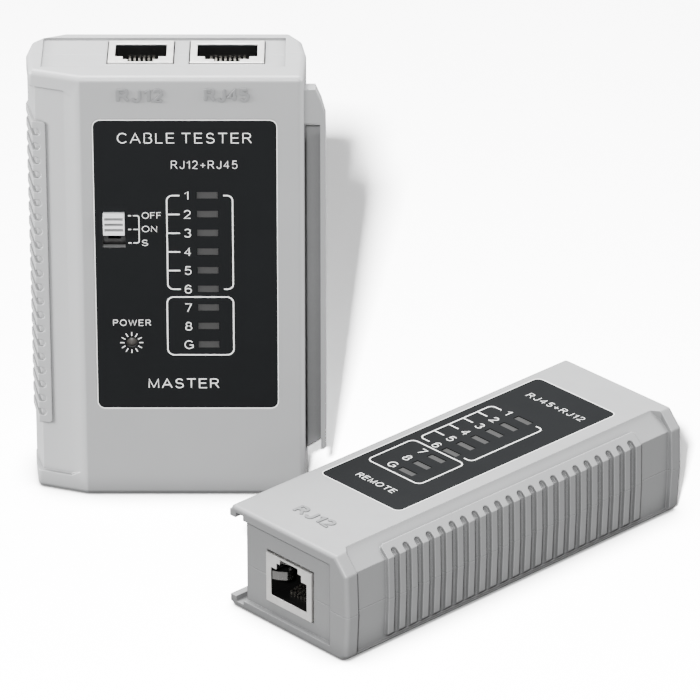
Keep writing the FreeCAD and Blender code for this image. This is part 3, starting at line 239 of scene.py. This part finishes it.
MATERIALS = {
    # Painted shade in the casing's hollows and painted highlights along its edges.
    "casing": plastic("casing_grey", (0.30, 0.303, 0.306), 0.42, 0.16, 0.01, 0.012, crevice_shade=0.62, reach=7.0,
                      edge=0.35, edge_highlight=0.45),
    "label": plastic("label_film", (0.0088, 0.0094, 0.010), 0.45, 0.25, 0.004, gloss=0.04),
    "lamp_lens": plastic("smoked_lens", (0.038, 0.038, 0.038), 0.35, 0.3, 0.006, 0.05, gloss=0.3),
    "power_lens": plastic("power_lens", (0.07, 0.066, 0.062), 0.35, 0.3, 0.006, 0.05, gloss=0.3),
    # Painted shade in the knob's grooves.
    "knob": plastic("knob_white", (0.72, 0.72, 0.73), 0.35, 0.2, 0.005, crevice_shade=0.5, reach=2.0, edge=0.15),
    # Painted shade: the switch's sheet is coloured near black for the shade in the knob's slot.
    "switch_metal": metal("switch_sheet", (0.07, 0.07, 0.07), 0.4),
    "switch_plastic": plastic("switch_moulding", (0.03, 0.03, 0.03), 0.5, 0.2, 0.01),
    "jack_metal": metal("jack_shield", (0.86, 0.85, 0.83), 0.42, 0.35),
    "jack_plastic": plastic("jack_moulding", (0.004, 0.004, 0.004), 0.42, 0.2, 0.008, gloss=0.15),
    # Painted shade on the contacts, darker deeper in the jack.
    "contact": metal("contact_plated", (0.97, 0.93, 0.84), 0.28, crevice_shade=0.45),
    "board": plastic("board_mask", (0.015, 0.12, 0.045), 0.35, 0.6, 0.01, 0.1),
    "chip": plastic("chip_moulding", (0.022, 0.022, 0.024), 0.55, 0.12, 0.01),
    "tinned": metal("tinned_legs", (0.7, 0.7, 0.68), 0.35),
    "resistor": plastic("resistor_lacquer", (0.56, 0.42, 0.25), 0.35, 0.4, 0.01, 0.08),
    "diode": plastic("diode_body", (0.30, 0.08, 0.03), 0.25, 0.4, 0.005),
    "supply_can": plastic("capacitor_sleeve", (0.03, 0.04, 0.12), 0.3, 0.5, 0.006),
    "timing_film": plastic("film_capacitor", (0.42, 0.03, 0.02), 0.3, 0.5, 0.006),
    "battery_wrap": plastic("battery_jacket", (0.06, 0.06, 0.065), 0.3, 0.6, 0.006),
    "stud": metal("snap_stud", (0.75, 0.75, 0.74), 0.25),
    "snap_cap": plastic("snap_cap", (0.03, 0.03, 0.03), 0.6, 0.3, 0.02),
    "lead_red": plastic("lead_red", (0.5, 0.015, 0.015), 0.45, 0.3, 0.01),
    "lead_black": plastic("lead_black", (0.02, 0.02, 0.02), 0.45, 0.3, 0.01),
    "screw": metal("screw_zinc", (0.5, 0.5, 0.5), 0.38),
}
# Painted shade: the raised words are of the casing's plastic, coloured darker, with painted shade round
# their strokes.
RAISED_CASING_SHADED = plastic("casing_words_shaded", (0.185, 0.188, 0.191), 0.42, 0.16, 0.01, 0.012, crevice_shade=0.3,
                        reach=1.0)
# Painted shade: the spring tab is of the shield's bright sheet, coloured dark for the shade inside the
# jack's mouth.
TAB_METAL_SHADED = metal("spring_tab_shaded", (0.24, 0.235, 0.23), 0.3, 0.35, 0.6)
PRINT = plastic("print_white", (0.92, 0.92, 0.91), 0.55, 0.12, 0.004, 0.03)

SLOT_OF = {entry["node"]: entry["material_slot"] for entry in frame["record"]["subparts"]}
for name, node in NODES.items():
    node.data.materials.clear()
    node.data.materials.append(MATERIALS[SLOT_OF[name]])


# ---------------------------------------------------------------- meshes

def add(name, mesh, body, material):
    """A mesh in the row frame, in metres, as a piece that rides on a body."""
    piece = bpy.data.objects.new(name, mesh)
    bpy.context.scene.collection.objects.link(piece)
    mesh.materials.clear()
    mesh.materials.append(material)
    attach(piece, body)
    return piece


def soften(piece, width_mm):
    """Bevels every edge sharper than a moulding's gentle turns."""
    bevel = piece.modifiers.new("edges", "BEVEL")
    bevel.width = width_mm * MM
    bevel.segments = 2
    bevel.limit_method = "ANGLE"
    bevel.angle_limit = math.radians(28)
    bevel.miter_outer = "MITER_ARC"
    normals = piece.modifiers.new("normals", "WEIGHTED_NORMAL")
    normals.weight = 80
    normals.keep_sharp = False


def moulded(node, width_mm):
    """A copy of a CAD node with its sharp edges broken, shown in its place."""
    mesh = NODES[node].data.copy()
    work = bmesh.new()
    work.from_mesh(mesh)
    bmesh.ops.remove_doubles(work, verts=work.verts, dist=2e-6)
    bmesh.ops.dissolve_limit(work, angle_limit=math.radians(0.6), verts=work.verts, edges=work.edges)
    for face in work.faces:
        face.smooth = True
    work.to_mesh(mesh)
    work.free()
    if "custom_normal" in mesh.attributes:
        mesh.attributes.remove(mesh.attributes["custom_normal"])
    piece = add(node + "_moulded", mesh, NODES[node]["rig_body"], MATERIALS[SLOT_OF[node]])
    soften(piece, width_mm)
    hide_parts(node)
    return piece


def plate(name, outlines, front, back, body, material):
    """Flat shapes in a unit's x-z plane, in millimetres, made solid from y = front to y = back."""
    work = bmesh.new()
    for outline in outlines:
        verts = [work.verts.new((x, front, z)) for x, z in outline]
        face = work.faces.new(verts)
        moved = bmesh.ops.extrude_face_region(work, geom=[face])["geom"]
        moved = [item for item in moved if isinstance(item, bmesh.types.BMVert)]
        bmesh.ops.translate(work, verts=moved, vec=(0, back - front, 0))
    bmesh.ops.recalc_face_normals(work, faces=work.faces)
    mesh = bpy.data.meshes.new(name)
    work.to_mesh(mesh)
    work.free()
    mesh.transform(UNITS[body])
    return add(name, mesh, body, material)


def rounded_path(points, radius, closed=False, steps=6):
    """Points with each corner turned by an arc."""
    result = []
    count = len(points)
    for index, point in enumerate(points):
        here = Vector(point)
        if not closed and index in (0, count - 1):
            result.append(here)
            continue
        before = (Vector(points[index - 1]) - here).normalized()
        after = (Vector(points[(index + 1) % count]) - here).normalized()
        half = before.angle(after) / 2
        reach = radius / math.tan(half)
        centre = here + (before + after).normalized() * (radius / math.sin(half))
        start = here + before * reach - centre
        end = here + after * reach - centre
        for step in range(steps + 1):
            ray = start.lerp(end, step / steps).normalized() * radius
            result.append(centre + ray)
    return result


def line(points, width, radius=0.0, closed=False):
    """Quads of a stroke of constant width along a path in the x-z plane, mitred at its corners."""
    path = rounded_path(points, radius, closed) if radius else [Vector(point) for point in points]
    steps = [index == 0 or (here - path[index - 1]).length > 1e-4 for index, here in enumerate(path)]
    path = [here for here, moves in zip(path, steps) if moves]
    count = len(path)
    sides = []
    for index, here in enumerate(path):
        before = path[index - 1] if closed or index else here
        after = path[(index + 1) % count] if closed or index < count - 1 else here
        along = (after - before).normalized()
        across = Vector((-along.y, along.x)) * width / 2
        if 0 < index < count - 1:
            across *= min(1.5, 1 / max(0.1, abs(along.dot((here - before).normalized()))))
        sides.append((here - across, here + across))
    quads = []
    for index in range(count if closed else count - 1):
        (a, b), (c, d) = sides[index], sides[(index + 1) % count]
        quads.append([tuple(a), tuple(c), tuple(d), tuple(b)])
    return quads


def arc(x, z, wide, tall, start, end, steps=14):
    """Points on part of an ellipse, its half-sizes wide and tall, between two angles in degrees."""
    turns = [math.radians(start + (end - start) * step / steps) for step in range(steps + 1)]
    return [(x + wide * math.cos(turn), z + tall * math.sin(turn)) for turn in turns]


# Centre lines of plain capitals and figures, one unit tall.
GLYPHS = {
    "A": [[(0, 0), (0.43, 1), (0.86, 0)], [(0.15, 0.34), (0.71, 0.34)]],
    "B": [[(0, 0), (0, 1), (0.36, 1)] + arc(0.36, 0.765, 0.24, 0.235, 90, -90) + [(0, 0.53)],
          [(0, 0.53), (0.36, 0.53)] + arc(0.36, 0.265, 0.29, 0.265, 90, -90) + [(0, 0)]],
    "C": [arc(0.44, 0.5, 0.43, 0.5, 40, 320, 24)],
    "E": [[(0.64, 1), (0, 1), (0, 0), (0.66, 0)], [(0, 0.53), (0.6, 0.53)]],
    "F": [[(0.6, 1), (0, 1), (0, 0)], [(0, 0.52), (0.52, 0.52)]],
    "G": [arc(0.45, 0.5, 0.44, 0.5, 40, 310, 24) + [(0.86, 0.12), (0.86, 0.46), (0.5, 0.46)]],
    "J": [[(0.5, 1), (0.5, 0.27)] + arc(0.25, 0.27, 0.25, 0.27, 0, -175)],
    "L": [[(0, 1), (0, 0), (0.58, 0)]],
    "M": [[(0, 0), (0, 1), (0.42, 0.04), (0.84, 1), (0.84, 0)]],
    "N": [[(0, 0), (0, 1), (0.72, 0), (0.72, 1)]],
    "O": [arc(0.46, 0.5, 0.46, 0.5, 0, 360, 32)],
    "P": [[(0, 0), (0, 1), (0.38, 1)] + arc(0.38, 0.745, 0.26, 0.255, 90, -90) + [(0, 0.49)]],
    "R": [[(0, 0), (0, 1), (0.4, 1)] + arc(0.4, 0.755, 0.26, 0.245, 90, -90) + [(0, 0.51)],
          [(0.38, 0.51), (0.72, 0)]],
    "S": [arc(0.33, 0.745, 0.29, 0.255, 20, 250) + arc(0.34, 0.255, 0.33, 0.255, 78, -165)],
    "T": [[(0, 1), (0.78, 1)], [(0.39, 1), (0.39, 0)]],
    "W": [[(0, 1), (0.29, 0), (0.58, 0.96), (0.87, 0), (1.16, 1)]],
    "1": [[(0.0, 0.74), (0.3, 1), (0.3, 0)]],
    "2": [arc(0.31, 0.71, 0.29, 0.29, 165, -38) + [(0, 0), (0.63, 0)]],
    "3": [arc(0.3, 0.765, 0.27, 0.235, 155, -90), arc(0.3, 0.265, 0.3, 0.265, 90, -158)],
    "4": [[(0.48, 0), (0.48, 1), (0, 0.3), (0.66, 0.3)]],
    "5": [[(0.58, 1), (0.12, 1), (0.05, 0.5)] + arc(0.31, 0.32, 0.31, 0.32, 138, -155)],
    "6": [arc(0.32, 0.3, 0.31, 0.3, 0, 360, 24), arc(0.33, 0.58, 0.32, 0.42, 35, 185) + [(0.01, 0.32)]],
    "7": [[(0, 1), (0.62, 1), (0.22, 0)]],
    "8": [arc(0.32, 0.76, 0.26, 0.24, 0, 360, 24), arc(0.32, 0.265, 0.32, 0.265, 0, 360, 24)],
    "+": [[(0, 0.42), (0.6, 0.42)], [(0.3, 0.12), (0.3, 0.72)]],
}


def word_strokes(text, left, low, wide, tall, width, gap=0.34, space=0.5):
    """Strokes of a line of capitals whose ink fills wide x tall from its lower left corner.
    gap lies between letters and space between words, as shares of the letters' height."""
    placed = []
    along = 0.0
    for letter in text:
        if letter == " ":
            along += space
            continue
        strokes = GLYPHS[letter]
        placed += [[(along + x, z) for x, z in stroke] for stroke in strokes]
        along += max(x for stroke in strokes for x, z in stroke) + gap
    length = max(x for stroke in placed for x, z in stroke)
    across = (wide - width) / length
    up = tall - width
    left += width / 2
    low += width / 2
    return [line([(left + x * across, low + z * up) for x, z in stroke], width) for stroke in placed]


# ---------------------------------------------------------------- casings

CASING_EDGE = 0.22
SHIELD_EDGE = 0.12
for name in ("main_front_shell", "main_rear_shell", "battery_door", "remote_front_shell",
             "remote_rear_shell"):
    moulded(name, CASING_EDGE)
for name in ("main_jack_6p", "main_jack_8p", "remote_jack_6p", "remote_jack_8p"):
    moulded(name + "_shield", SHIELD_EDGE)

# The spring tab of the remote's smaller jack shield is folded into the mouth and curls back on itself.
SHEET = 0.28
tab_path = rounded_path([(8.2, 0.9), (9.4, 1.4), (10.9, 2.6), (11.0, 4.3), (9.6, 5.2), (8.9, 4.0)], 0.75)
sides = [(corners[0], corners[3]) for corners in line(tab_path, SHEET)]
tab_outline = [near for near, far in sides] + [far for near, far in reversed(sides)]
tab = plate("remote_jack_6p_tab", [tab_outline], -0.6, 1.35, "remote_unit", TAB_METAL_SHADED)

# ---------------------------------------------------------------- print

INK_FRONT = FACE - 0.03
INK_BACK = FACE + 0.02
BRACKET_INK = 0.28
LEGEND_INK = 0.22
FIGURE_INK = 0.19


def print_lines(name, strokes, body):
    plate(name, [quad for stroke in strokes for quad in stroke], INK_FRONT, INK_BACK, body, PRINT)


def print_word(name, body, *layout):
    print_lines(name, word_strokes(*layout), body)


def lamp_graphics(body, rows, left, right, figures, stub, frame_left, frame_right, tall):
    """Numbers, brackets and frame round a unit's nine lamps. rows are the lamps' heights, top one first;
    figures is the x of the numbers' centres and tall their height."""
    for text, z in zip("12345678G", rows):
        wide = {"1": 0.41, "G": 0.95}.get(text, 0.73) * tall
        shift = 0.15 if text == "1" else 0.0
        print_word(f"{body}_number_{text}", body, text, figures - shift - wide / 2, z - tall / 2, wide, tall,
                   FIGURE_INK)
    top, low = rows[0], rows[5]
    hook = right - stub * 0.72
    strokes = [line([(left + stub, top), (left, top), (left, low), (left + stub, low)], BRACKET_INK, 1.2)]
    strokes += [line([(left, z), (left + stub, z)], BRACKET_INK) for z in rows[1:5]]
    strokes.append(line([(hook, top), (right, top), (right, low), (hook, low)], BRACKET_INK, 1.2))
    high = (rows[5] + rows[6]) / 2 + 0.35
    base = rows[8] - 2.45
    corners = [(frame_left, high), (frame_right, high), (frame_right, base), (frame_left, base)]
    strokes.append(line(corners, BRACKET_INK, 1.4, True))
    print_lines(f"{body}_brackets", strokes, body)


# name, text, left, low, wide, tall, ink width, gap between letters, gap between words
MAIN_WORDS = (
    ("title_print", "CABLE TESTER", -10.3, 84.65, 28.7, 2.45, 0.2, 0.37, 0.3),
    ("types_print", "RJ12+RJ45", 1.15, 78.7, 14.15, 1.9, 0.14, 0.4),
    ("unit_print", "MASTER", -4.4, 26.25, 15.35, 2.35, 0.235),
    ("power_print", "POWER", -11.85, 41.35, 8.2, 1.5, 0.135, 0.38),
    ("off_print", "OFF", -5.25, 66.95, 4.15, 1.5, 0.135, 0.3),
    ("on_print", "ON", -5.3, 63.78, 3.25, 1.45, 0.135, 0.3),
    ("tone_print", "S", -5.35, 60.48, 1.3, 1.45, 0.135))
REMOTE_WORDS = (
    ("remote_unit_print", "REMOTE", 4.6, 28.05, 11.4, 1.75, 0.16, 0.36),
    ("remote_types_print", "RJ45+RJ12", 3.0, 80.55, 16.8, 1.9, 0.14, 0.42))
MAIN_ROWS = [36.8 + 4.45 * index for index in range(8, -1, -1)]
REMOTE_ROWS = [37.3 + 4.33 * index for index in range(8, -1, -1)]
SWITCH_ROWS = (67.65, 64.4, 61.2)
POWER_LAMP = Vector((-7.9, 37.3))
RAYS = 12

for name, *layout in MAIN_WORDS:
    print_word(name, "main_unit", *layout)
lamp_graphics("main_unit", MAIN_ROWS, 0.1, 14.2, 4.48, 2.75, -0.1, 14.2, 2.05)
top, middle, low = SWITCH_ROWS
legend = [line([(-7.15, top), (-5.9, top), (-5.9, low), (-7.15, low)], LEGEND_INK, 0.5),
          line([(-7.15, middle), (-5.9, middle)], LEGEND_INK)]
legend += [line([(-8.22, z), (-7.58, z)], 0.25) for z in SWITCH_ROWS]
print_lines("switch_legend", legend, "main_unit")
beams = []
for index in range(RAYS):
    turn = math.radians(360 / RAYS * index)
    way = Vector((math.cos(turn), math.sin(turn)))
    beams.append(line([POWER_LAMP + way * 1.6, POWER_LAMP + way * 2.5], 0.2))
print_lines("power_rays", beams, "main_unit")

lamp_graphics("remote_unit", REMOTE_ROWS, 1.3, 17.1, 6.5, 3.0, 1.1, 17.05, 2.25)
for name, *layout in REMOTE_WORDS:
    print_word(name, "remote_unit", *layout)

# A white line painted round each label is a painted highlight on its recess's edge: name, body, middle, low,
# wide, tall.
LABELS = (
    ("main_label_rim", "main_unit", 4.15, 21.4, 39.3, 68.7),
    ("remote_label_rim", "remote_unit", 10.8, 23.2, 24.2, 65.6))
for name, body, middle, low, wide, tall in LABELS:
    left, right, high = middle - wide / 2, middle + wide / 2, low + tall
    print_lines(name, [line([(left, low), (right, low), (right, high), (left, high)], 0.2, 1.6, True)], body)

# Raised words on the casings: name, body, text, left, low, wide, tall.
RAISED_WORDS = (
    ("raised_6p", "main_unit", "RJ12", -10.3, 94.15, 10.1, 3.25),
    ("raised_8p", "main_unit", "RJ45", 8.35, 94.25, 9.7, 3.25),
    ("raised_remote_6p", "remote_unit", "RJ12", 7.1, 7.3, 11.0, 3.4))
RAISED_FRONT = FACE - 0.25
RAISED_BACK = FACE + 0.2
RAISED_STROKE = 0.68
RAISED_GRID = 0.07
for name, body, *layout in RAISED_WORDS:
    quads = [quad for stroke in word_strokes(*layout, RAISED_STROKE) for quad in stroke]
    raised = plate(name, quads, RAISED_FRONT, RAISED_BACK, body, RAISED_CASING_SHADED)
    blend = raised.modifiers.new("one_skin", "REMESH")
    blend.mode = "VOXEL"
    blend.voxel_size = RAISED_GRID * MM
    blend.use_smooth_shade = True

# ---------------------------------------------------------------- studio

# The floor looks white, and throws little light back on the object.
FLOOR_WHITE = (15.0, 15.0, 15.0)
FLOOR_BOUNCE = (0.15, 0.15, 0.15, 1)
FLOOR_SHEEN = (0.9, 0.9, 0.9, 1)
FLOOR_RADIUS = 3.0
FLOOR_SIDES = 48
work = bmesh.new()
turns = [math.radians(360 / FLOOR_SIDES * side) for side in range(FLOOR_SIDES)]
work.faces.new([work.verts.new((FLOOR_RADIUS * math.cos(turn), FLOOR_RADIUS * math.sin(turn), 0))
                for turn in turns])
floor_mesh = bpy.data.meshes.new("floor")
work.to_mesh(floor_mesh)
work.free()
floor = bpy.data.objects.new("floor", floor_mesh)
bpy.context.scene.collection.objects.link(floor)
floor_look = Shader("floor_paper", FLOOR_WHITE, 1.0)
floor_look.main.inputs["Specular IOR Level"].default_value = 0.0
floor_look.tint(floor_look.noise(60.0, 3.0), 0.006)
floor_look.bump(floor_look.noise(1.0, 3.0), 0.01)
# Painted shadow: the floor darkens close round the object.
floor_look.painted_crevice_shade(10.0, 0.97)
rays = floor_look.node("LightPath").outputs
thrown_back = floor_look.mix(rays["Is Glossy Ray"], FLOOR_BOUNCE, FLOOR_SHEEN)
floor_color = floor_look.mix(rays["Is Camera Ray"], thrown_back, floor_look.base_source())
floor_look.link(floor_color, floor_look.main.inputs["Base Color"])
floor_mesh.materials.append(floor_look.material)
floor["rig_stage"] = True


def area_light(name, place, target, size, power):
    """A square soft light of a size in metres, turned to a target."""
    light = bpy.data.lights.new(name, "AREA")
    light.shape = "RECTANGLE"
    light.size = size
    light.size_y = size
    light.energy = power
    lamp = bpy.data.objects.new(name, light)
    lamp.location = place
    lamp.rotation_euler = (Vector(target) - Vector(place)).to_track_quat("-Z", "Y").to_euler()
    bpy.context.scene.collection.objects.link(lamp)
    return lamp


def shine_only_on(lamp, bodies):
    """Links a light to the pieces of some bodies, as flags and grids do in a studio."""
    lit = bpy.data.collections.new(lamp.name + "_lit")
    for piece in bpy.data.objects:
        if piece.get("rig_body") in bodies:
            lit.objects.link(piece)
    lamp.light_linking.receiver_collection = lit


MAIN_BODIES = ("main_unit", "battery_door", "switch_knob")
ALL_BODIES = MAIN_BODIES + ("remote_unit",)
shine_only_on(area_light("overhead", (-0.10, 0.25, 0.95), (0.04, 0, 0.0), 0.6, 43), ALL_BODIES)
shine_only_on(area_light("left", (-0.95, -0.14, 0.3), (0.0, 0, 0.05), 0.4, 38), MAIN_BODIES)
shine_only_on(area_light("rim", (0.8, -0.10, 0.35), (0.03, 0, 0.05), 0.3, 14), MAIN_BODIES)
area_light("key", (-0.085, -1.30, 0.84), (0.03, 0, 0.04), 0.09, 38)

# The world is dim as light, and brighter where the metal mirrors it.
DIM = 0.05
MIRRORED = 0.6
world = bpy.data.worlds.new("studio")
world.use_nodes = True
backdrop = world.node_tree.nodes["Background"]
backdrop.inputs["Color"].default_value = (1, 1, 1, 1)
path = world.node_tree.nodes.new("ShaderNodeLightPath")
fill = world.node_tree.nodes.new("ShaderNodeMapRange")
fill.inputs["To Min"].default_value = DIM
fill.inputs["To Max"].default_value = MIRRORED
world.node_tree.links.new(path.outputs["Is Glossy Ray"], fill.inputs["Value"])
world.node_tree.links.new(fill.outputs["Result"], backdrop.inputs["Strength"])
bpy.context.scene.world = world

CAMERA_PLACE = (0.03935, -1.1695, 0.6111)
CAMERA_DOWN = 26.44
camera_data = bpy.data.cameras.new("photo_camera")
camera_data.sensor_width = 36.0
camera_data.lens = 306.8
camera_data.clip_start = 0.01
camera_data.clip_end = 20.0
camera = bpy.data.objects.new("photo_camera", camera_data)
camera.location = CAMERA_PLACE
camera.rotation_euler = (math.radians(90 - CAMERA_DOWN), 0, 0)
bpy.context.scene.collection.objects.link(camera)
bpy.context.scene.camera = camera

low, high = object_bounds()
